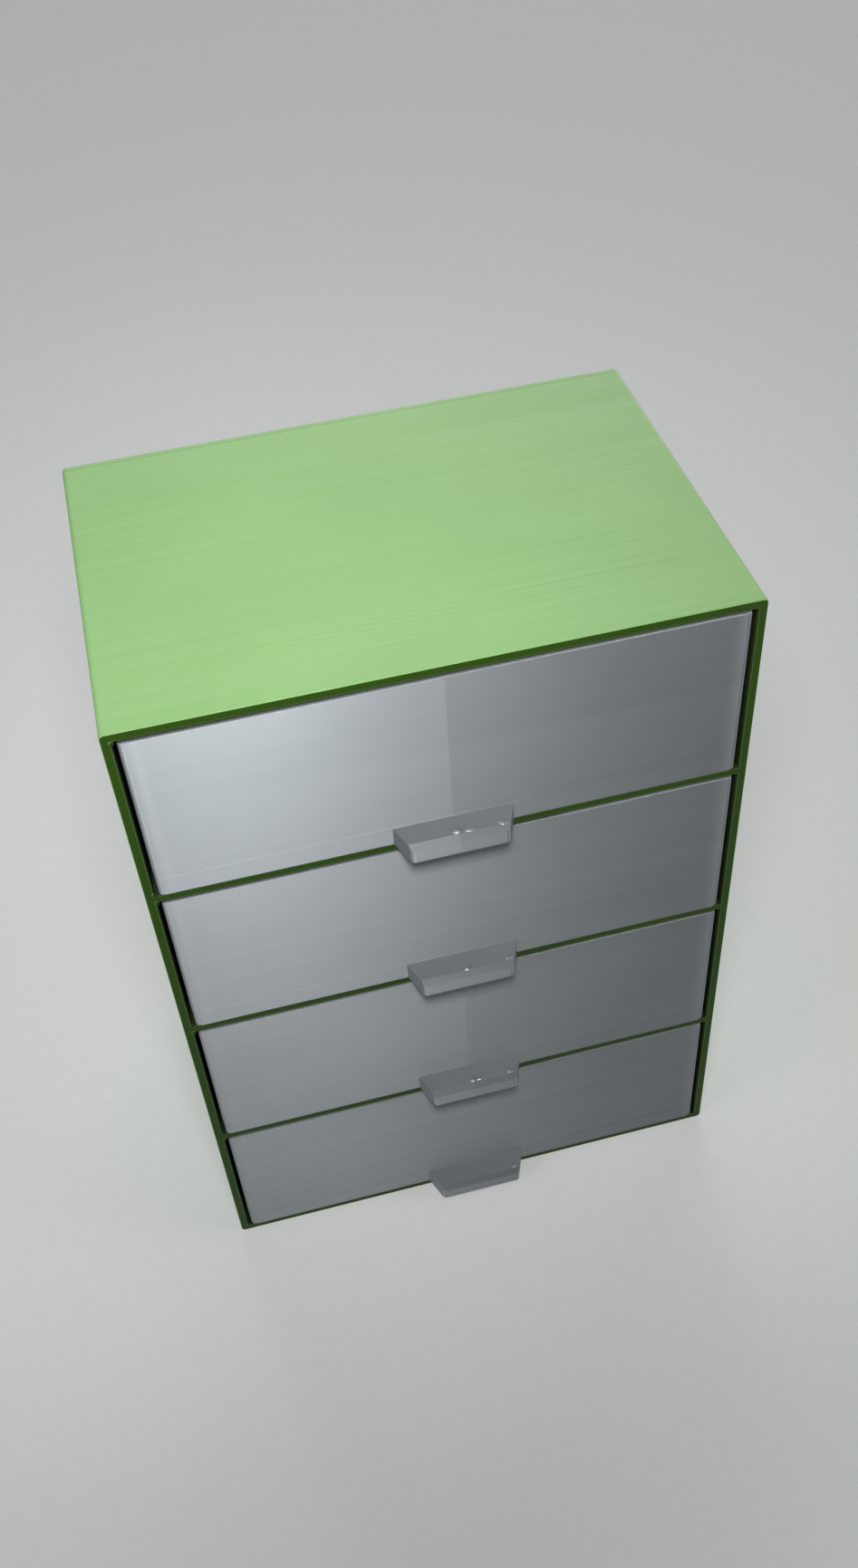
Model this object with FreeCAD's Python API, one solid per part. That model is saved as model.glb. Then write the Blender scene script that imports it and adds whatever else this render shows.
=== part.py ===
import FreeCAD, Part

import os

from FreeCAD import Vector

# A small desk-top chest of drawers for craft stamps, printed in plastic: one case
# with open bays, and one tray with a pull for each bay.
#
# Frame: +X to the right, -Y to the front where the drawers come out, +Z up.
# The origin is on the standing surface, in the middle of the whole object,
# pulls included. Every length is in millimetres.

# --- Driving dimensions -------------------------------------------------------

# case
case_width = 100.0
case_depth = 70.0
side_wall = 1.6
top_wall = 1.6
bottom_wall = 1.6
back_wall = 1.6
shelf_thickness = 1.6
bay_count = 4

# drawer body
drawer_height = 32.8
front_wall = 1.6
tray_wall = 1.2
floor_thickness = 1.6
partition_thickness = 1.2
partition_drop = 1.0
parted_drawers = (1, 3)

# running clearances between a drawer and its bay
side_gap = 0.6
head_gap = 0.6
back_gap = 0.8

# pull, flush with the drawer's underside
pull_root_width = 20.0
pull_tip_width = 16.0
pull_reach = 5.0
pull_thickness = 3.5
pull_bevel = 0.9
pull_corner = 0.8

# the printed fronts swell a little up to where the pull's solid layers end
swell = 0.12
swell_fade = 0.4
swell_inset = 0.2

# small roundings; an upright corner is always rounder than the rim that meets it
case_rounding = 0.8
rim_rounding = 0.3
drawer_corner = 0.8
lip_rounding = 0.3

# --- Sizes that follow --------------------------------------------------------

bay_height = drawer_height + head_gap
bay_pitch = bay_height + shelf_thickness
bay_width = case_width - 2 * side_wall
bay_depth = case_depth - back_wall
case_height = bottom_wall + bay_count * bay_pitch - shelf_thickness + top_wall

drawer_width = bay_width - 2 * side_gap
drawer_depth = bay_depth - back_gap

total_depth = case_depth + pull_reach
case_front = pull_reach - total_depth / 2
case_back = case_front + case_depth


def near(value, target):
    """True where two lengths are the same within modelling tolerance."""
    return abs(value - target) < 1e-6


def edges_where(shape, test):
    """The edges of a shape whose bounding box passes a test."""
    return [edge for edge in shape.Edges if test(edge.BoundBox)]


def bay_floor(number):
    """Height of the surface that drawer `number` slides on, drawer 1 at the top."""
    return bottom_wall + (bay_count - number) * bay_pitch


# --- Case ---------------------------------------------------------------------

def make_case():
    """One shell: outer walls, closed back, and a shelf between each two bays."""
    block = Part.makeBox(case_width, case_depth, case_height,
                         Vector(-case_width / 2, case_front, 0))

    def outer_long_edge(box):
        return near(box.YLength, case_depth)

    def back_outline(box):
        return near(box.YMin, case_back) and near(box.YMax, case_back)

    shell = block.makeFillet(case_rounding,
                             edges_where(block, outer_long_edge)
                             + edges_where(block, back_outline))
    bays = [Part.makeBox(bay_width, bay_depth, bay_height,
                         Vector(-bay_width / 2, case_front, bay_floor(number)))
            for number in range(1, bay_count + 1)]
    shell = shell.cut(bays).removeSplitter()

    def front_rim(box):
        return near(box.YMin, case_front) and near(box.YMax, case_front)

    return shell.makeFillet(rim_rounding, edges_where(shell, front_rim))


# --- Drawer -------------------------------------------------------------------

def make_tray(parted):
    """Open tray with its front face at Y = 0 and its underside at Z = 0."""
    body = Part.makeBox(drawer_width, drawer_depth, drawer_height,
                        Vector(-drawer_width / 2, 0, 0))

    def upright_corner(box):
        return near(box.ZLength, drawer_height)

    body = body.makeFillet(drawer_corner, edges_where(body, upright_corner))
    inner_width = drawer_width - 2 * tray_wall
    inner_depth = drawer_depth - front_wall - tray_wall
    hollow = Part.makeBox(inner_width, inner_depth, drawer_height,
                          Vector(-inner_width / 2, front_wall, floor_thickness))
    body = body.cut(hollow)

    def lip(box):
        return near(box.ZMin, drawer_height) and near(box.ZMax, drawer_height)

    body = body.makeFillet(lip_rounding, edges_where(body, lip))
    if parted:
        wall = Part.makeBox(partition_thickness, inner_depth,
                            drawer_height - floor_thickness - partition_drop,
                            Vector(-partition_thickness / 2, front_wall, floor_thickness))
        body = body.fuse(wall).removeSplitter()
    return body


def make_swell():
    """Skin on the lower front, rooted in the front wall: full up to the pull's top, then fading."""
    half = drawer_width / 2 - drawer_corner - swell_inset
    root = front_wall / 2
    outline = Part.makePolygon([Vector(-half, root, 0),
                                Vector(-half, -swell, 0),
                                Vector(-half, -swell, pull_thickness),
                                Vector(-half, 0, pull_thickness + swell_fade),
                                Vector(-half, root, pull_thickness + swell_fade),
                                Vector(-half, root, 0)])
    return Part.Face(outline).extrude(Vector(2 * half, 0, 0))


def make_pull():
    """Finger pull rooted in the front wall: it narrows to the front, its upper edge bevelled."""
    half_root = pull_root_width / 2
    half_tip = pull_tip_width / 2
    root = front_wall / 2
    plan = Part.makePolygon([Vector(-half_root, root, 0),
                             Vector(-half_root, 0, 0),
                             Vector(-half_tip, -pull_reach, 0),
                             Vector(half_tip, -pull_reach, 0),
                             Vector(half_root, 0, 0),
                             Vector(half_root, root, 0),
                             Vector(-half_root, root, 0)])
    plate = Part.Face(plan).extrude(Vector(0, 0, pull_thickness))

    def front_corner(box):
        return near(box.YMax, -pull_reach) and near(box.ZLength, pull_thickness)

    plate = plate.makeFillet(pull_corner, edges_where(plate, front_corner))
    side_view = Part.makePolygon([Vector(-half_root, root, 0),
                                  Vector(-half_root, -pull_reach, 0),
                                  Vector(-half_root, -pull_reach, pull_thickness - pull_bevel),
                                  Vector(-half_root, pull_bevel - pull_reach, pull_thickness),
                                  Vector(-half_root, root, pull_thickness),
                                  Vector(-half_root, root, 0)])
    return plate.common(Part.Face(side_view).extrude(Vector(pull_root_width, 0, 0)))


def make_drawer(number):
    """One drawer in its closed place."""
    tray = make_tray(number in parted_drawers)
    drawer = tray.fuse([make_swell(), make_pull()]).removeSplitter()
    drawer.translate(Vector(0, case_front, bay_floor(number)))
    return drawer


# --- Write the pieces ---------------------------------------------------------

os.makedirs("parts", exist_ok=True)

pieces = {"case": make_case()}
for number in range(1, bay_count + 1):
    pieces[f"drawer_{number}"] = make_drawer(number)

for name, shape in pieces.items():
    box = shape.BoundBox
    print(f"{name}: {len(shape.Solids)} solid, valid {shape.isValid()}, "
          f"{box.XLength:.2f} x {box.YLength:.2f} x {box.ZLength:.2f} mm, "
          f"{shape.Volume / 1000:.2f} cm3")
    shape.exportStep(f"parts/{name}.step")
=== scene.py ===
# %% [markdown]
# # Craft stamp storage drawers
# A small desk-top chest of drawers: a sage green case with four bays, and four
# silver trays that slide in it, each with a short finger pull. All five pieces
# are printed in plastic, layer on layer, and that is what the eye reads: fine
# parallel lines whose direction says how each piece lay on the printer's bed.
#
# The pieces are already built at their real size. This file adds what a
# printer leaves on them: the grain of the layers, the sheen of each filament,
# the scar where a bead of plastic starts and stops. It then sets up the floor,
# the lamps and the camera.

# %% Load the five printed pieces
import math
import random

import bmesh
import bpy
from mathutils import Matrix, Vector


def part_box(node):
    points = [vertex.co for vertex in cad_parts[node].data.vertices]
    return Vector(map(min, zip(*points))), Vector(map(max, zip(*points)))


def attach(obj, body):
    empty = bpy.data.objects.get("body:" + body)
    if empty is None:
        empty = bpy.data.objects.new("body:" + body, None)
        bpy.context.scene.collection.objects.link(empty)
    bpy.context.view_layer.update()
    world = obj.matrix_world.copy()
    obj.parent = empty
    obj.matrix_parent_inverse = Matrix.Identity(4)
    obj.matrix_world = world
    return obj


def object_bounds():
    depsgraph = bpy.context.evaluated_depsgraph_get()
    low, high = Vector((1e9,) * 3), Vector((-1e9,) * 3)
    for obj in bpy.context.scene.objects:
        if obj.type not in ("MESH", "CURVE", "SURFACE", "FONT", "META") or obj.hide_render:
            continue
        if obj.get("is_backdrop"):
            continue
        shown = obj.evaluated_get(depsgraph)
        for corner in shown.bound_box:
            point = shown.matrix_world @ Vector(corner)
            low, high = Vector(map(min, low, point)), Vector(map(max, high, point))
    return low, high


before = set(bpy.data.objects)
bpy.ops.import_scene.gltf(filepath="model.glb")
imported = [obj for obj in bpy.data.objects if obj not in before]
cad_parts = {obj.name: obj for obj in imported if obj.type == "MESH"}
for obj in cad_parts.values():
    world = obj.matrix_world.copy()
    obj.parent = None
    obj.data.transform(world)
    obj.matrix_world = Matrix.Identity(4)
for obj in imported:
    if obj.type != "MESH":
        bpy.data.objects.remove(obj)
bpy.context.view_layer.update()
print("pieces:", sorted(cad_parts))

# %% [markdown]
# ## The sizes that the finish needs
# Beads, scars and lines sit on edges of the pieces, so their places are read
# from the pieces themselves and follow when a size changes. Lengths below are
# in millimetres, because that is how a printer's settings are written.

# %% Measure the pieces, in millimetres
MM = 0.001
DRAWERS = ["drawer_1", "drawer_2", "drawer_3", "drawer_4"]   # from the top down
PARTED = ["drawer_1", "drawer_3"]     # the trays with a partition in the middle
WALL = 1.6                            # printed wall of the case
BEAD = 0.4                            # width of one printed bead, four to a wall
CORNER_RADIUS = 0.8                   # of the upright corners of a tray, and of the case
PULL_TOP = 3.5                        # the top of a pull above the tray's underside


def box_in_mm(node):
    """Lowest and highest corner of a piece, in millimetres."""
    return [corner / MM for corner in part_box(node)]


case_low, case_high = box_in_mm("case")
drawer_box = {name: box_in_mm(name) for name in DRAWERS}
first_underside = drawer_box["drawer_4"][0].z
bay_pitch = drawer_box["drawer_1"][0].z - drawer_box["drawer_2"][0].z
bay_height = bay_pitch - WALL
bay_width = case_high.x - case_low.x - 2 * WALL
tray_half_width = drawer_box["drawer_1"][1].x
print(f"bay {bay_width:.1f} x {bay_height:.1f} mm, one every {bay_pitch:.1f} mm")

# %% [markdown]
# ## Small helpers
# A colour is written as the hex value that it shows on a screen, and Blender
# wants it linear. One function adds a node with its settings and its links, so
# that a pattern reads as a short list of steps.

# %% Colours and nodes
MATH, VECTOR, MIX = "ShaderNodeMath", "ShaderNodeVectorMath", "ShaderNodeMix"
NOISE, RANGE, BUMP = "ShaderNodeTexNoise", "ShaderNodeMapRange", "ShaderNodeBump"


def linear(hex_colour):
    """A screen colour such as #93BF80 as Blender's linear red, green, blue, alpha."""
    channels = [int(hex_colour[i:i + 2], 16) / 255 for i in (1, 3, 5)]
    return tuple(c / 12.92 if c <= 0.04045 else ((c + 0.055) / 1.055) ** 2.4
                 for c in channels) + (1.0,)


def add(tree, kind, inputs=None, **settings):
    """Adds a node. An input is a value, a socket, or a node whose first output is meant."""
    node = tree.nodes.new(kind)
    for name, value in settings.items():
        setattr(node, name, value)
    for key, value in (inputs or {}).items():
        if isinstance(value, bpy.types.Node):
            value = value.outputs[0]
        if isinstance(value, bpy.types.NodeSocket):
            tree.links.new(value, node.inputs[key])
        else:
            node.inputs[key].default_value = value
    return node


def empty_material(name):
    """A material without nodes, and its node tree."""
    material = bpy.data.materials.new(name)
    material.use_nodes = True
    material.node_tree.nodes.clear()
    return material, material.node_tree


print("mid grey in linear light:", [round(c, 3) for c in linear("#808080")[:3]])

# %% [markdown]
# ## What a printer leaves on a wall
# A wall is a stack of beads. Each bead is rounded, with a valley to the next,
# and no two are quite alike, so a wall shows a fine grain and, over it, slow
# bands a few millimetres wide where the flow of plastic rose and fell.
#
# The real beads are 0.2 mm tall, finer than a pixel when the whole chest is in
# view, and a ruled pattern that fine would shimmer into false stripes. So the
# grain is drawn from noise that is stretched along the beads: its main lines
# are 0.6 mm apart, coarser than the real ones so that they show, and it never
# repeats. The same function serves every wall, whichever way it was stacked.

# %% Grain of stacked beads
LINE = 0.6                            # mm from line to line
BANDS = 3.3                           # mm, width of the slow bands
STRETCH = 120                         # how many times longer than wide a line is


def stacked_beads(tree, along, across, seed):
    """Height and band tone, each 0 to 1, of beads that run with `along` and stack with `across`."""
    slow = add(tree, MATH, {0: along, 1: 1 / STRETCH}, operation="MULTIPLY")
    line = add(tree, "ShaderNodeCombineXYZ", {0: slow, 1: across, 2: seed})
    height = add(tree, NOISE, {"Vector": line, "Scale": 1 / LINE, "Detail": 3.0, "Roughness": 0.65})
    bands = add(tree, NOISE, {"Vector": line, "Scale": 1 / BANDS, "Detail": 2.0})
    return height.outputs["Fac"], bands.outputs["Fac"]


print("lines over the height of the chest:", round(case_high.z / LINE))

# %% [markdown]
# ## What a printer leaves on a level face
# A level face is a field of straight beads laid side by side. Looked at from
# close by they are as plain as corduroy. One function draws straight beads in
# any direction, with a valley between each two. On a face that lay on the bed
# the crowns are pressed flat: that is the sine raised to a power below one.

# %% Field of beads laid side by side
def laid_beads(tree, across, width=BEAD, power=1.0):
    """Height, 0 in the valleys and 1 on the crowns. A power under 1 flattens the crowns."""
    turns = add(tree, MATH, {0: across, 1: math.pi / width}, operation="MULTIPLY")
    wave = add(tree, MATH, {0: turns}, operation="SINE")
    wave = add(tree, MATH, {0: wave}, operation="ABSOLUTE")
    return add(tree, MATH, {0: wave, 1: power}, operation="POWER").outputs[0]


print("beads side by side in a wall:", round(WALL / BEAD))

# %% [markdown]
# ## Reading where a point lies
# Every pattern needs the point's place in millimetres and which way the
# surface faces there. Object coordinates travel with a tray as it slides, so
# the pattern stays on the plastic. Two small functions turn a place into a
# mask: one for everything past an edge, one for a thin line.

# %% Place, facing and masks
def where(tree):
    """The place in millimetres, whole and split in X, Y and Z, and the facing, split."""
    texture = add(tree, "ShaderNodeTexCoord")
    place = add(tree, VECTOR, {0: texture.outputs["Object"], "Scale": 1 / MM}, operation="SCALE")
    facing = texture.outputs["Normal"]
    return (place.outputs[0], add(tree, "ShaderNodeSeparateXYZ", {0: place}).outputs,
            add(tree, "ShaderNodeSeparateXYZ", {0: facing}).outputs)


FACES_IT = 0.75                       # a face looks along an axis when its normal has this much of it


def above(tree, value, edge, blur=0.1):
    """1 where a value is above an edge, 0 below it, with a soft step between."""
    return add(tree, RANGE, {"Value": value, "From Min": edge - blur, "From Max": edge + blur},
               interpolation_type="SMOOTHSTEP").outputs[0]


def line_at(tree, value, centre, half_width):
    """1 on a thin line where a value meets a centre, 0 away from it."""
    off = add(tree, MATH, {0: value, 1: centre}, operation="SUBTRACT")
    off = add(tree, MATH, {0: off}, operation="ABSOLUTE")
    return add(tree, RANGE, {"Value": off, "From Min": half_width, "From Max": 0.0},
               interpolation_type="SMOOTHSTEP").outputs[0]


print("a place is read in units of", MM, "m")

# %% [markdown]
# ## The rim of the case
# The front rim is the last layer of the case. Its four beads lie side by side
# and follow the outline of each bay, so their pattern is a distance: how far a
# point lies outside the edge of the nearest bay. The bays repeat evenly up the
# chest, so the height is first folded back to one bay.
#
# The same distance tells the walls inside a bay from the outside of the case.

# %% Distance from the nearest bay
RIM_EDGE = 0.25                       # mm of the rim that the deep green of the bays still takes


def rim_distance(tree, at):
    """Distance in mm from the edge of the nearest bay, read on the front rim."""
    from_middle = add(tree, MATH, {0: at["X"]}, operation="ABSOLUTE")
    out_x = add(tree, MATH, {0: from_middle, 1: bay_width / 2}, operation="SUBTRACT")
    # ten pitches down, so that the height is positive all over the case before it is folded
    start = first_underside + (bay_height + bay_pitch) / 2 - 10 * bay_pitch
    height = add(tree, MATH, {0: at["Z"], 1: start}, operation="SUBTRACT")
    folded = add(tree, MATH, {0: height, 1: bay_pitch}, operation="MODULO")
    centred = add(tree, MATH, {0: folded, 1: bay_pitch / 2}, operation="SUBTRACT")
    from_centre = add(tree, MATH, {0: centred}, operation="ABSOLUTE")
    out_z = add(tree, MATH, {0: from_centre, 1: bay_height / 2}, operation="SUBTRACT")
    return add(tree, MATH, {0: out_x, 1: out_z}, operation="MAXIMUM").outputs[0]


def inside_of_bays(tree, at):
    """1 on the walls of the bays and on the inner edge of the rim, 0 on the outside of the case."""
    past_rim = above(tree, rim_distance(tree, at), RIM_EDGE)
    past_top = above(tree, at["Z"], case_high.z - WALL / 2)
    past_back = above(tree, at["Y"], case_high.y - WALL / 2)
    outside = add(tree, MATH, {0: past_rim, 1: past_top}, operation="MAXIMUM")
    outside = add(tree, MATH, {0: outside, 1: past_back}, operation="MAXIMUM")
    return add(tree, MATH, {0: 1.0, 1: outside}, operation="SUBTRACT").outputs[0]


print(f"the rim is {WALL} mm wide round bays {bay_height:.1f} mm high")

# %% [markdown]
# ## The back, which lay on the bed
# The first layer is pressed on the bed: loops follow the outline, and a field
# of slanting beads fills the rest. Their crowns are flat and the grooves
# between them are narrow. The real beads are 0.4 mm wide; three are drawn as
# one, because finer grooves would not show from an arm's length.

# %% Beads of the first layer
BED_BEAD = 3 * BEAD
BED_LOOPS = 4


def bed_side(tree, at):
    """Height of the first layer's beads: loops round the back, then a slanting field."""
    from_middle = add(tree, MATH, {0: at["X"]}, operation="ABSOLUTE")
    from_side = add(tree, MATH, {0: case_high.x, 1: from_middle}, operation="SUBTRACT")
    off_middle = add(tree, MATH, {0: at["Z"], 1: case_high.z / 2}, operation="SUBTRACT")
    off_middle = add(tree, MATH, {0: off_middle}, operation="ABSOLUTE")
    from_end = add(tree, MATH, {0: case_high.z / 2, 1: off_middle}, operation="SUBTRACT")
    outline = add(tree, MATH, {0: from_side, 1: from_end}, operation="MINIMUM").outputs[0]
    slant = add(tree, MATH, {0: at["X"], 1: at["Z"]}, operation="ADD")
    slant = add(tree, MATH, {0: slant, 1: math.sqrt(0.5)}, operation="MULTIPLY")
    field = above(tree, outline, BED_LOOPS * BED_BEAD, blur=0.02)
    across = add(tree, MIX, {0: field, 2: outline, 3: slant})
    return laid_beads(tree, across, BED_BEAD, power=0.3)


print(f"loops on the back reach {BED_LOOPS * BED_BEAD:.1f} mm in")

# %% [markdown]
# ## Sage green PLA: the case
# Polylactic acid, the commonest printing plastic, in a soft sage green with a
# satin surface. The case was printed lying on its back. So its walls are
# stacked from back to front: on the top the beads run left to right, and on
# the sides they run up and down. Where the solid back ends, 1.6 mm in, the
# walls show a faint line.
#
# The relief is drawn as bump: it is under a tenth of a millimetre, far too fine
# for a mesh of this size. The front rim and the back have reliefs of their own.

# %% Relief of the case
SOLID_BACK = 1.6                      # mm of solid layers at the start of the print
WALL_RELIEF = 0.025                   # mm from valley to crown on a wall
RIM_RELIEF = 0.05                     # mm on the rim, where the crowns are round
BED_RELIEF = 0.06                     # mm on the back, groove to crown
BACK_LINE_DEPTH = 0.015               # mm, the faint line where the solid back ends
BACK_LINE_TONE = 0.25                 # how much of the rim's deep green that line takes
GRIT = 0.25                           # mm, grain that the bed prints on a face


def case_relief(tree, place, at, front, back, wall_height, bed_beads, back_line):
    """Bump of the case: stacked beads, and other patterns on the rim and on the back."""
    walls = add(tree, MATH, {0: wall_height, 1: WALL_RELIEF}, operation="MULTIPLY")
    rim = add(tree, MATH, {0: laid_beads(tree, rim_distance(tree, at)), 1: RIM_RELIEF},
              operation="MULTIPLY")
    grit = add(tree, NOISE, {"Vector": place, "Scale": 1 / GRIT, "Detail": 2.0})
    pressed = add(tree, MATH, {0: grit, 1: 0.5, 2: bed_beads}, operation="MULTIPLY_ADD")
    pressed = add(tree, MATH, {0: pressed, 1: BED_RELIEF}, operation="MULTIPLY")
    height = add(tree, MIX, {0: front, 2: walls, 3: rim})
    height = add(tree, MIX, {0: back, 2: height, 3: pressed})
    height = add(tree, MATH, {0: back_line, 1: -BACK_LINE_DEPTH, 2: height}, operation="MULTIPLY_ADD")
    return add(tree, BUMP, {"Height": height, "Distance": MM})


print("relief of the case in mm:", WALL_RELIEF, RIM_RELIEF, BED_RELIEF)

# %% [markdown]
# ## Colour and gloss of the case
# The valleys between the beads are painted a little darker than the crowns,
# which is painted shade, and over a whole wall the green drifts slightly at
# random, as it does along a spool. The end faces of the walls and the inside
# of the bays are painted a deeper green: painted shade where little light
# reaches, because a shadow alone leaves them too pale. They also mirror less,
# and the grooves on the back are painted darker too, as painted shade.
#
# PLA has an index of refraction near 1.46. Satin comes from a roughness near
# one half, lower where the bands are smooth.

# %% Material of the case
SAGE = "#8BB575"                      # the crowns of the beads
# Valleys painted darker than the crowns: painted shade, mixed with a random drift over each wall.
SAGE_VALLEY_SHADE_AND_DRIFT = "#82AB6B"               # the valleys between them
# The grooves on the back are painted darker: painted shade.
SAGE_GROOVE_PAINTED_SHADE = "#6F9558"               # the grooves on the back
# The next two greens are painted shade: the end faces of the walls and the bays, darkened where
# little light reaches.
SAGE_RIM_PAINTED_SHADE = "#2D4B07"                  # end faces of the walls
SAGE_BAY_PAINTED_SHADE = "#28361A"                  # inside of the bays
MIRROR = 0.5                          # Blender's plain setting for how much a surface mirrors
DEEP_MIRROR = 0.2                     # the same on the end faces and in the bays
CLOUD = 28                            # mm, slow change of tone over a wall


def sage_green_pla():
    """Satin PLA printed on its back."""
    material, tree = empty_material("sage_green_pla_printed_on_its_back")
    place, at, facing = where(tree)
    front = above(tree, add(tree, MATH, {0: facing["Y"], 1: -1.0}, operation="MULTIPLY"), FACES_IT)
    back = above(tree, facing["Y"], FACES_IT)
    beside = add(tree, MATH, {0: at["X"], 1: at["Z"]}, operation="ADD")
    wall_height, bands = stacked_beads(tree, beside, at["Y"], seed=3.0)
    bed_beads = bed_side(tree, at)
    back_line = line_at(tree, at["Y"], case_high.y - SOLID_BACK, 0.3)
    bump = case_relief(tree, place, at, front, back, wall_height, bed_beads, back_line)

    cloud = add(tree, NOISE, {"Vector": place, "Scale": 1 / CLOUD, "Detail": 2.0})
    # Crowns paler and valleys darker is painted shade; the cloud adds a random drift of tone.
    tone = add(tree, MATH, {0: wall_height, 1: 1.5, 2: cloud}, operation="MULTIPLY_ADD")
    tone = add(tree, RANGE, {"Value": tone, "From Min": 0.85, "From Max": 1.65})
    colour = add(tree, MIX, {0: tone, 6: linear(SAGE_VALLEY_SHADE_AND_DRIFT), 7: linear(SAGE)}, data_type="RGBA")
    # The bays and the rim are painted a deeper green below: painted shade.
    bay = inside_of_bays(tree, at)
    # Darker grooves on the back: painted shade.
    groove = add(tree, MATH, {0: 1.0, 1: bed_beads}, operation="SUBTRACT")
    groove = add(tree, MATH, {0: back, 1: groove}, operation="MULTIPLY")
    rim = add(tree, MATH, {0: 1.0, 1: bay}, operation="SUBTRACT")
    rim = add(tree, MATH, {0: front, 1: rim}, operation="MULTIPLY")
    faint_line = add(tree, MATH, {0: back_line, 1: BACK_LINE_TONE}, operation="MULTIPLY")
    # Grooves, bays and rim darken the green as painted shade; the faint line is the print's own mark,
    # in a quarter of the rim's painted-shade green.
    greens = ((groove, SAGE_GROOVE_PAINTED_SHADE), (bay, SAGE_BAY_PAINTED_SHADE), (rim, SAGE_RIM_PAINTED_SHADE), (faint_line, SAGE_RIM_PAINTED_SHADE))
    for mask, deeper in greens:
        colour = add(tree, MIX, {0: mask, 6: colour.outputs[2], 7: linear(deeper)}, data_type="RGBA")
    gloss = add(tree, RANGE, {"Value": bands, "From Min": 0.3, "From Max": 0.7,
                              "To Min": 0.44, "To Max": 0.56})
    # The bays and the rim, painted as shade above, also mirror less.
    deep = add(tree, MATH, {0: bay, 1: rim}, operation="MAXIMUM")
    mirror = add(tree, RANGE, {"Value": deep, "To Min": MIRROR, "To Max": DEEP_MIRROR})
    shader = add(tree, "ShaderNodeBsdfPrincipled",
                 {"Base Color": colour.outputs[2], "Roughness": gloss, "IOR": 1.46,
                  "Specular IOR Level": mirror, "Normal": bump})
    add(tree, "ShaderNodeOutputMaterial", {"Surface": shader})
    return material


case_finish = sage_green_pla()
print(case_finish.name, "has", len(case_finish.node_tree.nodes), "nodes")

# %% [markdown]
# ## Relief of a tray
# A tray was printed upright, so its walls are stacked from the bottom up. Three
# things lift its front by a few tenths of a millimetre at most, and on a glossy
# wall that shows:
#
# - At an upright corner the bead turns, and the wall swells towards it.
# - Where the solid layers of the pull end, the front steps back in.
# - A partition behind the front pulls the wall tight. Its place shows as a
#   soft ridge, bright on one side and darker on the other, with a sharp middle.
#
# The last one is the only sign from outside that a tray is parted. It could be
# painted as a light and a dark stripe, but a stripe would stay when the lamp
# moves. As relief it turns with the light, as the real one does.

# %% Relief of a tray
TRAY_RELIEF = 0.012                   # mm from valley to crown on a wall
FIELD_RELIEF = 0.03                   # mm on a level face, above and below
CORNER_SWELL = 0.45                   # mm that the wall rises to an upright corner
CORNER_REACH = 3.4                    # mm in which it rises, steeper towards the corner
PULL_STEP = 0.08                      # mm that the front steps back above the pull
RIDGE = 0.12                          # mm that the wall stands out in front of a partition
RIDGE_REACH = 6.0                     # mm in which the ridge falls to a third
UPRIGHT = (0.0, 0.0, 1.0)             # across the beads of a wall
SLANT = (math.sqrt(0.5), math.sqrt(0.5), 0.0)   # across the beads of a level face


def front_relief(tree, at, height, parted):
    """Adds to a height the swelling of a tray's corners, the step and the partition's ridge."""
    off = add(tree, MATH, {0: at["X"]}, operation="ABSOLUTE")
    swell = add(tree, RANGE, {"Value": off, "From Min": tray_half_width - CORNER_REACH,
                              "From Max": tray_half_width})
    swell = add(tree, MATH, {0: swell, 1: 2.0}, operation="POWER")
    height = add(tree, MATH, {0: swell, 1: CORNER_SWELL, 2: height}, operation="MULTIPLY_ADD")

    up = add(tree, MATH, {0: at["Z"], 1: first_underside}, operation="SUBTRACT")
    up = add(tree, MATH, {0: up, 1: bay_pitch}, operation="MODULO")
    # only the lower front stands out; the upper front and all that lies behind are flush
    behind = above(tree, at["Y"], case_low.y + 0.5, blur=0.3)
    flush = add(tree, MATH, {0: above(tree, up, PULL_TOP + 0.2, blur=0.3), 1: behind},
                operation="MAXIMUM")
    height = add(tree, MATH, {0: flush, 1: -PULL_STEP, 2: height}, operation="MULTIPLY_ADD")

    if parted:
        fall = add(tree, MATH, {0: off, 1: -1 / RIDGE_REACH}, operation="MULTIPLY")
        ridge = add(tree, MATH, {0: fall}, operation="EXPONENT")
        height = add(tree, MATH, {0: ridge, 1: RIDGE, 2: height}, operation="MULTIPLY_ADD")
    return height


def tray_relief(tree, place, at, facing, wall_height, level, parted):
    """Bump of a tray: stacked beads on its walls, fields of beads on its level faces."""
    under = above(tree, add(tree, MATH, {0: facing["Z"], 1: -1.0}, operation="MULTIPLY"), FACES_IT)
    walls = add(tree, MATH, {0: wall_height, 1: TRAY_RELIEF}, operation="MULTIPLY")
    across = add(tree, VECTOR, {0: place, 1: SLANT}, operation="DOT_PRODUCT").outputs["Value"]
    field = add(tree, MATH, {0: laid_beads(tree, across), 1: FIELD_RELIEF}, operation="MULTIPLY")
    grit = add(tree, NOISE, {"Vector": place, "Scale": 1 / GRIT, "Detail": 2.0})
    grit = add(tree, MATH, {0: grit, 1: FIELD_RELIEF}, operation="MULTIPLY")
    height = add(tree, MIX, {0: level, 2: walls, 3: field})
    height = add(tree, MIX, {0: under, 2: height, 3: grit})
    return add(tree, BUMP, {"Height": front_relief(tree, at, height, parted), "Distance": MM})


print("relief of a tray's front in mm:", CORNER_SWELL, PULL_STEP, RIDGE)

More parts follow.
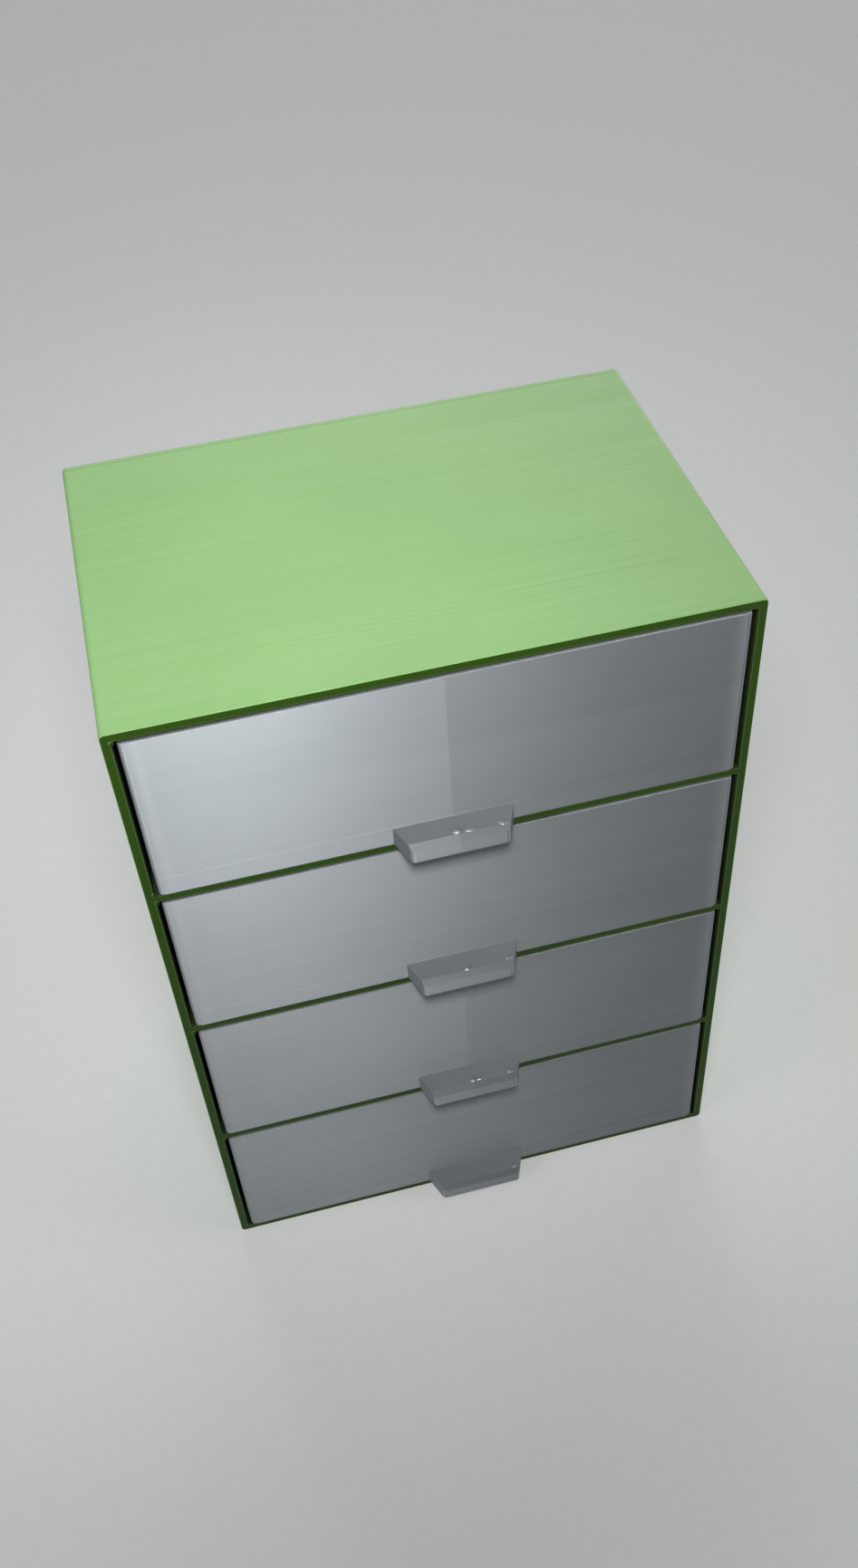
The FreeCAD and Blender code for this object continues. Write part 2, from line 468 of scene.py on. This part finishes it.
# %% [markdown]
# ## Silver silk PLA: the trays
# Silk filament is PLA with pearl flakes, and it shines like satin metal. Each
# bead is a tiny rounded ridge that runs sideways, and together the beads spread
# a highlight up and down but hardly sideways: a tray's front is bright where
# the lamp is mirrored and fades to grey to the side. That is anisotropic gloss.
# Blender's shader stretches a highlight along its tangent, so on the walls the
# tangent points up.
#
# A level face, such as a tray's floor or the top of a pull, is filled with beads
# at 45 degrees, so there the tangent lies level and crosses them. Seen from the
# front, the top of a pull then stays darker than its edge.
#
# A pearl pigment is neither metal nor plain plastic. Metallic 0.8 keeps a fifth
# of the plain plastic's scatter, so that the trays don't go black where they
# mirror nothing bright. The index of refraction stays at its default.

# %% Material of the trays
SILVER = "#A2A7AA"
SILVER_BAND = "#9DA2A5"


def silver_silk_pla(name, parted):
    """Silk PLA printed upright. A partition behind the front shows through as a faint line."""
    material, tree = empty_material(name)
    place, at, facing = where(tree)
    level = above(tree, add(tree, MATH, {0: facing["Z"]}, operation="ABSOLUTE"), FACES_IT)
    beside = add(tree, MATH, {0: at["X"], 1: at["Y"]}, operation="ADD")
    wall_height, bands = stacked_beads(tree, beside, at["Z"], seed=7.0)
    bump = tray_relief(tree, place, at, facing, wall_height, level, parted)

    cloud = add(tree, NOISE, {"Vector": place, "Scale": 1 / CLOUD, "Detail": 2.0})
    tone = add(tree, MATH, {0: bands, 1: cloud}, operation="ADD")
    tone = add(tree, RANGE, {"Value": tone, "From Min": 0.75, "From Max": 1.25})
    colour = add(tree, MIX, {0: tone, 6: linear(SILVER_BAND), 7: linear(SILVER)}, data_type="RGBA")
    gloss = add(tree, RANGE, {"Value": bands, "From Min": 0.3, "From Max": 0.7,
                              "To Min": 0.66, "To Max": 0.68})
    tangent = add(tree, MIX, {0: level, 4: UPRIGHT, 5: SLANT}, data_type="VECTOR")
    shader = add(tree, "ShaderNodeBsdfPrincipled",
                 {"Base Color": colour.outputs[2], "Metallic": 0.8, "Roughness": gloss,
                  "Anisotropic": 0.9, "Tangent": tangent.outputs[1], "Normal": bump})
    add(tree, "ShaderNodeOutputMaterial", {"Surface": shader})
    return material


plain_finish = silver_silk_pla("silver_silk_pla_printed_upright", parted=False)
parted_finish = silver_silk_pla("silver_silk_pla_with_partition_behind", parted=True)
print(plain_finish.name, "has", len(plain_finish.node_tree.nodes), "nodes")

# %% [markdown]
# ## Skin of a drop
# A drop of the same silver plastic cools as one smooth skin without beads. So
# its gloss is the same in every direction and tighter, and it glints where the
# walls only shine. Its silver is painted paler than the trays', and palest on
# the crowns of its dimples: a painted glint.

# %% Material of the drops
DIMPLE = 0.8                          # mm, slow unevenness of a drop
DIMPLE_DEPTH = 0.08                   # mm
# Paler than the trays' silver, palest on the crowns: a painted glint.
SKIN_PAINTED_GLINT, SKIN_CROWN_PAINTED_GLINT = "#A9AEB1", "#C6CACD"


def silver_drop():
    """Silk PLA that cooled as a drop."""
    material, tree = empty_material("silver_silk_pla_drop")
    place, _, _ = where(tree)
    dimple = add(tree, NOISE, {"Vector": place, "Scale": 1 / DIMPLE, "Detail": 2.0})
    height = add(tree, MATH, {0: dimple, 1: DIMPLE_DEPTH}, operation="MULTIPLY")
    bump = add(tree, BUMP, {"Height": height, "Distance": MM})
    # Crowns of the dimples painted paler: painted glint.
    colour = add(tree, MIX, {0: dimple, 6: linear(SKIN_PAINTED_GLINT), 7: linear(SKIN_CROWN_PAINTED_GLINT)}, data_type="RGBA")
    gloss = add(tree, RANGE, {"Value": dimple, "To Min": 0.26, "To Max": 0.36})
    shader = add(tree, "ShaderNodeBsdfPrincipled",
                 {"Base Color": colour.outputs[2], "Metallic": 0.7, "Roughness": gloss,
                  "Normal": bump})
    add(tree, "ShaderNodeOutputMaterial", {"Surface": shader})
    return material


drop_finish = silver_drop()
print("skin of a drop:", drop_finish.name)

# %% [markdown]
# ## Which piece gets which finish
# The pieces keep the meshes that they came with, and only their material slots
# are filled. The two parted trays get the finish with the ridge.

# %% Give each printed piece its finish
for name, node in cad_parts.items():
    finish = case_finish if name == "case" else parted_finish if name in PARTED else plain_finish
    node.data.materials.clear()
    node.data.materials.append(finish)
    print(name, "->", finish.name)

# %% [markdown]
# ## Scars where a bead starts and stops
# The nozzle starts and ends each loop of a layer at one spot, and a little
# extra plastic stays there. On the pulls it leaves a drop near the front edge,
# a flat smear beside it, and another near the right corner where the nozzle
# left for the next layer. No two pulls are alike.
#
# A drop could be painted with bump, but its rim has to catch the light from
# every side, so it is real geometry: a ball pressed flat, then pushed in and
# out by a few hundredths of a millimetre. All drops of one piece are joined in
# one mesh.

# %% A pressed drop, and a piece made of millimetres
random.seed(11)                       # the same unevenness in every run
LEAN = 0.15                           # how far a drop may be thicker on one side
WAVE = 0.05                           # how far its skin goes in and out, of its size


def new_piece(name, shape, body, finish):
    """Turns a bmesh in millimetres into a piece that moves with a body."""
    bmesh.ops.scale(shape, vec=(MM, MM, MM), verts=shape.verts)
    bmesh.ops.recalc_face_normals(shape, faces=shape.faces)
    mesh = bpy.data.meshes.new(name)
    shape.to_mesh(mesh)
    shape.free()
    mesh.shade_smooth()
    mesh.materials.append(finish)
    piece = bpy.data.objects.new(name, mesh)
    bpy.context.scene.collection.objects.link(piece)
    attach(piece, body)
    print(name, "rides on", body, "with", len(mesh.vertices), "points")


def add_drop(shape, centre, radii):
    """A pressed drop about a centre, with its three half sizes, slightly uneven."""
    size = Matrix.Translation(centre) @ Matrix.Diagonal((*radii, 1.0))
    drop = bmesh.ops.create_icosphere(shape, subdivisions=3, radius=1.0, matrix=size)
    lean = Vector((random.uniform(-LEAN, LEAN), random.uniform(-LEAN, LEAN), 0.0))
    for vert in drop["verts"]:
        out = vert.co - Vector(centre)
        wave = math.sin(5.0 * out.x / radii[0] + 3.0 * out.z / radii[2]) * WAVE
        vert.co += out * (wave + lean.dot(out) / max(radii))


print("a drop is thicker on one side by up to", LEAN, "and its skin wavy by up to", WAVE)

# %% [markdown]
# ## Where the drops lie
# Each pull has its own set. Places are counted across from the middle and
# inward from the edge where the top meets the bevel, because that is where the
# outer loop of the pull's last layer runs. A drop sits half in the plastic. One
# with a half height near 0.3 mm stands up, and one near 0.1 mm is a smear.

# %% Drops on the pulls
PULL_BEVEL = 0.9
pull_edge = drawer_box["drawer_1"][0].y + PULL_BEVEL
PULL_DROPS = {                        # across, inward, and three half sizes, in mm
    "drawer_1": [(-0.4, 0.50, 0.62, 0.55, 0.38), (1.7, 0.35, 0.90, 0.38, 0.14),
                 (7.2, 0.40, 0.80, 0.55, 0.12)],
    "drawer_2": [(-0.1, 0.20, 0.45, 0.50, 0.32), (7.5, 0.60, 0.65, 0.55, 0.16)],
    "drawer_3": [(-0.2, 0.60, 0.45, 0.60, 0.32), (1.3, 0.50, 0.75, 0.35, 0.12),
                 (7.1, 0.70, 0.65, 0.50, 0.14)],
    "drawer_4": [(7.3, 0.60, 0.55, 0.60, 0.14)],
}
for name, drops in PULL_DROPS.items():
    top = drawer_box[name][0].z + PULL_TOP
    shape = bmesh.new()
    for across, inward, half_x, half_y, half_z in drops:
        add_drop(shape, (across, pull_edge + inward, top), (half_x, half_y, half_z))
    new_piece(f"{name}_pull_drops", shape, name, drop_finish)

# %% [markdown]
# ## Drops on the rim
# On the case's rim the loops round a bay start at its left corners, low and
# high, and each leaves a small blob there in the case's own green.

# %% Drops on the rim
FROM_CORNER = 0.20                    # mm from a bay's corner up or down to its drop
OVER_WALL = 0.05                      # mm from a bay's wall to the middle of a drop
SUNK = 0.1                            # mm that the middle lies behind the rim
THICK = 0.25                          # mm, half the thickness
shape = bmesh.new()
bay_left = case_low.x + WALL
for name in DRAWERS:
    bay_floor = drawer_box[name][0].z
    for height in (bay_floor + FROM_CORNER, bay_floor + bay_height - FROM_CORNER):
        add_drop(shape, (bay_left - OVER_WALL, case_low.y + SUNK, height),
                 (random.uniform(0.42, 0.50), THICK, random.uniform(0.45, 0.60)))
new_piece("case_rim_drops", shape, "case", case_finish)

# %% [markdown]
# ## Seams
# Down one corner of every tray, and along one long edge of the case, the drops
# of all the layers stand in a row like the teeth of a zip. A slicer program
# hides that seam in the corner that shows least: at the back of a tray, and
# low on the left of the case. It is a thin tube along the corner whose radius
# swells and narrows once for each drop. The layers are 0.2 mm tall; every
# second one is drawn, because finer teeth would melt into one line.

# %% Seams down the corners
TOOTH = 0.4                           # two layers of 0.2 mm
SEAM = 0.17                           # mm, radius at a tooth
SEAM_SIDES = 8
CORNER = CORNER_RADIUS * (1 - math.sqrt(0.5))   # how far a rounded corner is set in


def add_seam(shape, start, end):
    """A row of teeth from one point to another, each ring wide or narrow in turn."""
    start, end = Vector(start), Vector(end)
    turn = (end - start).to_track_quat("Z", "Y")
    steps = 2 * int((end - start).length / TOOTH)
    rings = []
    for step in range(steps + 1):
        swell = SEAM * (random.uniform(0.85, 1.15) if step % 2 else random.uniform(0.5, 0.7))
        middle = start.lerp(end, step / steps)
        spokes = [turn @ Vector((math.cos(a), math.sin(a), 0)) * swell
                  for a in (math.tau * side / SEAM_SIDES for side in range(SEAM_SIDES))]
        rings.append([shape.verts.new(middle + spoke) for spoke in spokes])
    for lower, upper in zip(rings, rings[1:]):
        for side in range(SEAM_SIDES):
            shape.faces.new((lower[side], lower[side - 1], upper[side - 1], upper[side]))
    shape.faces.new(rings[0])
    shape.faces.new(rings[-1])


for name in DRAWERS:
    low, high = drawer_box[name]
    x, y = low.x + CORNER, high.y - CORNER
    shape = bmesh.new()
    add_seam(shape, (x, y, low.z + 0.3), (x, y, high.z - 0.5))
    finish = parted_finish if name in PARTED else plain_finish
    new_piece(f"{name}_seam", shape, name, finish)

shape = bmesh.new()
x, z = case_low.x + CORNER, case_low.z + CORNER
add_seam(shape, (x, case_low.y + 0.5, z), (x, case_high.y - 1.0, z))
new_piece("case_seam", shape, "case", case_finish)

# %% [markdown]
# ## Floor
# A sheet of pale matt paper, large enough to reach past every view.
#
# Paper this pale throws light back up and fills every shadow on the chest. So
# it is mid grey for the light that bounces off it, and pale for the eye and for
# what the silver mirrors. A part of the paleness is its own faint glow, which
# keeps the far paper as pale as the near; the rest is lit, and so it takes the
# shadow of the chest.

# %% Floor
FLOOR_REACH = 3.0                     # m from the middle to each side
MOTTLE = 2.5                          # mm, size of the paper's faint clouds
PAPER_GLOW = 0.28
bpy.ops.mesh.primitive_plane_add(size=2 * FLOOR_REACH, location=(0, 0, 0))
floor = bpy.context.object
floor.name = "floor"
floor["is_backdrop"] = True

paper, tree = empty_material("pale_matt_paper")
rays = add(tree, "ShaderNodeLightPath").outputs
seen = add(tree, MATH, {0: rays["Is Camera Ray"], 1: rays["Is Glossy Ray"]}, operation="ADD")
seen = add(tree, MATH, {0: seen, 1: rays["Is Transmission Ray"]}, operation="ADD", use_clamp=True)
place, _, _ = where(tree)
mottle = add(tree, NOISE, {"Vector": place, "Scale": 1 / MOTTLE, "Detail": 3.0})
pale = add(tree, MIX, {0: mottle, 6: linear("#BABCBB"), 7: linear("#C2C4C3")}, data_type="RGBA")
paper_colour = add(tree, MIX, {0: seen, 6: linear("#606261"), 7: pale.outputs[2]}, data_type="RGBA")
glow = add(tree, MATH, {0: seen, 1: PAPER_GLOW}, operation="MULTIPLY")
shader = add(tree, "ShaderNodeBsdfPrincipled",
             {"Base Color": paper_colour.outputs[2], "Roughness": 0.9,
              "Emission Color": linear("#F4F6F5"), "Emission Strength": glow})
add(tree, "ShaderNodeOutputMaterial", {"Surface": shader})
floor.data.materials.append(paper)
print("floor reaches", FLOOR_REACH, "m each way")

# %% [markdown]
# ## Lamps
# The key lamp is small and close, a little left of the middle and higher than
# the eye. It makes the bright left half of the fronts, which fades downwards
# as the lamp's beam thins out, and the shadow under each pull. A narrow spread
# keeps most of that beam off the floor.
#
# Two wide lamps stand at the front quarters. Seen from the front they add
# almost nothing but a light edge on the trays' corners; seen from a quarter
# they are what the silver mirrors.
#
# The top and the back are lit from far away, so that the floor takes the same
# light everywhere and shows no edge of a beam. One lamp stands high behind the
# chest and lights the top. The other stands low, where it lights the back at
# full strength and barely touches the floor.

# %% Lamps
def softbox(name, place, aim, width, height, watts, spread=180.0):
    """A rectangular area lamp that points from `place` at `aim`, in metres."""
    lamp = bpy.data.objects.new(name, bpy.data.lights.new(name, "AREA"))
    lamp.data.shape = "RECTANGLE"
    lamp.data.size, lamp.data.size_y = width, height
    lamp.data.energy = watts
    lamp.data.spread = math.radians(spread)
    lamp.location = place
    lamp.rotation_euler = (Vector(aim) - Vector(place)).to_track_quat("-Z", "Y").to_euler()
    bpy.context.scene.collection.objects.link(lamp)
    print(name, "lamp:", watts, "W")


def far_lamp(name, source, strength, softness):
    """Parallel light from a direction, whose shadows blur by an angle in degrees."""
    lamp = bpy.data.objects.new(name, bpy.data.lights.new(name, "SUN"))
    lamp.data.energy = strength
    lamp.data.angle = math.radians(softness)
    lamp.rotation_euler = Vector(source).to_track_quat("Z", "Y").to_euler()
    bpy.context.scene.collection.objects.link(lamp)
    print(name, "lamp:", strength, "W per square metre")


softbox("key", (-0.035, -0.18, 0.33), (-0.02, 0.08, 0.14), 0.05, 0.05, 0.195, spread=80)
softbox("left", (-0.46, -0.20, 0.28), (0, 0, 0.07), 0.30, 0.30, 0.2, spread=90)
softbox("right", (0.49, -0.18, 0.24), (0, 0, 0.08), 0.30, 0.30, 0.19, spread=90)
far_lamp("overhead", (0, 1, 1), strength=0.42, softness=25)
far_lamp("back", (0.4, 0.9, 0.16), strength=1.2, softness=40)

# %% [markdown]
# ## Surroundings
# Pale at the height of the eye, to continue the floor, and dim overhead, so
# that the top of the case keeps its colour. The step between is wide and soft,
# because the silver would show a hard one as a line.

# %% Surroundings
PALE_UP_TO = 0.20                     # height of a direction, 0 level and 1 straight up
DIM_FROM = 0.40
world = bpy.data.worlds.new("studio")
bpy.context.scene.world = world
world.use_nodes = True
tree = world.node_tree
heading = add(tree, "ShaderNodeTexCoord").outputs["Generated"]
heading = add(tree, "ShaderNodeSeparateXYZ", {0: heading}).outputs
climb = add(tree, RANGE, {"Value": heading["Z"], "From Min": PALE_UP_TO, "From Max": DIM_FROM},
            interpolation_type="SMOOTHSTEP")
sky = add(tree, MIX, {0: climb, 6: linear("#A6A8A7"), 7: linear("#404242")}, data_type="RGBA")
tree.links.new(sky.outputs[2], tree.nodes["Background"].inputs["Color"])
print("surroundings: pale up to", round(math.degrees(math.asin(PALE_UP_TO))), "degrees")

# %% [markdown]
# ## Camera
# Held in one hand above the chest and a little to its left, close enough that
# the upright edges run together towards the floor. It is tilted by a few
# degrees, as a hand-held camera is.

# %% Camera
camera = bpy.data.objects.new("camera", bpy.data.cameras.new("camera"))
bpy.context.scene.collection.objects.link(camera)
EYE = Vector((-34.0, -193.0, 284.6)) * MM
AIM = Vector((-3.5, -32.5, 118.3)) * MM      # on the front of the top tray
ROLL = math.radians(4.49)
camera.location = EYE
look = (AIM - EYE).to_track_quat("-Z", "Y").to_matrix()
camera.rotation_euler = (look @ Matrix.Rotation(-ROLL, 3, "Z")).to_euler()
camera.data.sensor_fit = "AUTO"
camera.data.sensor_width = 36.0
camera.data.lens = 34.57              # mm, about 55 degrees along the picture's long side
camera.data.clip_start = 0.01
bpy.context.scene.camera = camera
bpy.context.scene.view_settings.view_transform = "Standard"
print("camera to chest:", round((AIM - EYE).length / MM), "mm")

# %% [markdown]
# ## Sizes, and the end
# The box round everything that renders, the floor aside, is measured here.

# %% Size of the finished chest, and the end
low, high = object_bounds()
